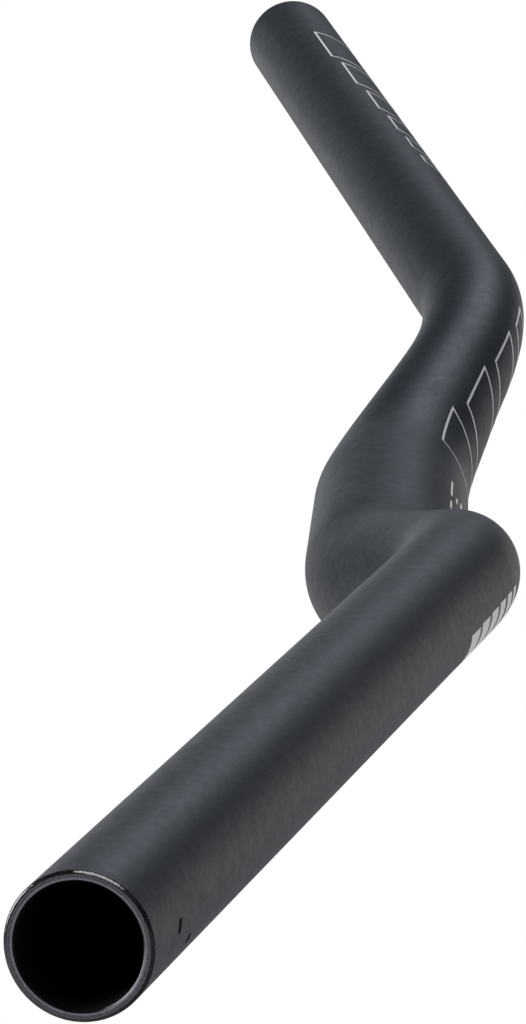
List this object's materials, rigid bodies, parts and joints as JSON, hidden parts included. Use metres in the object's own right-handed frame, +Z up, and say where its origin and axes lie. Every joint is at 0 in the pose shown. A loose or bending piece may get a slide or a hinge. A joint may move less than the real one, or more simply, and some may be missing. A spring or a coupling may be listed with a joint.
{
  "type": "mountain bike handlebar",
  "caption": "Riser handlebar for a mountain bike: a butted, bent and tapered aluminium tube with a thick straight clamp zone and slim, swept-back grip ends with open chamfered mouths.",
  "frame": {"origin": "centre of the stem clamp zone, on the clamp axis", "axes": "+X along the clamp axis to the rider's right, +Y to the front of the bicycle, +Z up; the grips turn back and up"},
  "size_m": [0.804, 0.0681, 0.0699],
  "materials": {
    "bar": "fine bead-blasted surface, matte black anodised",
    "print": "thin flat white print on the bar"
  },
  "bodies": {
    "root": {"handlebar": "bar"}
  },
  "joints": []
}
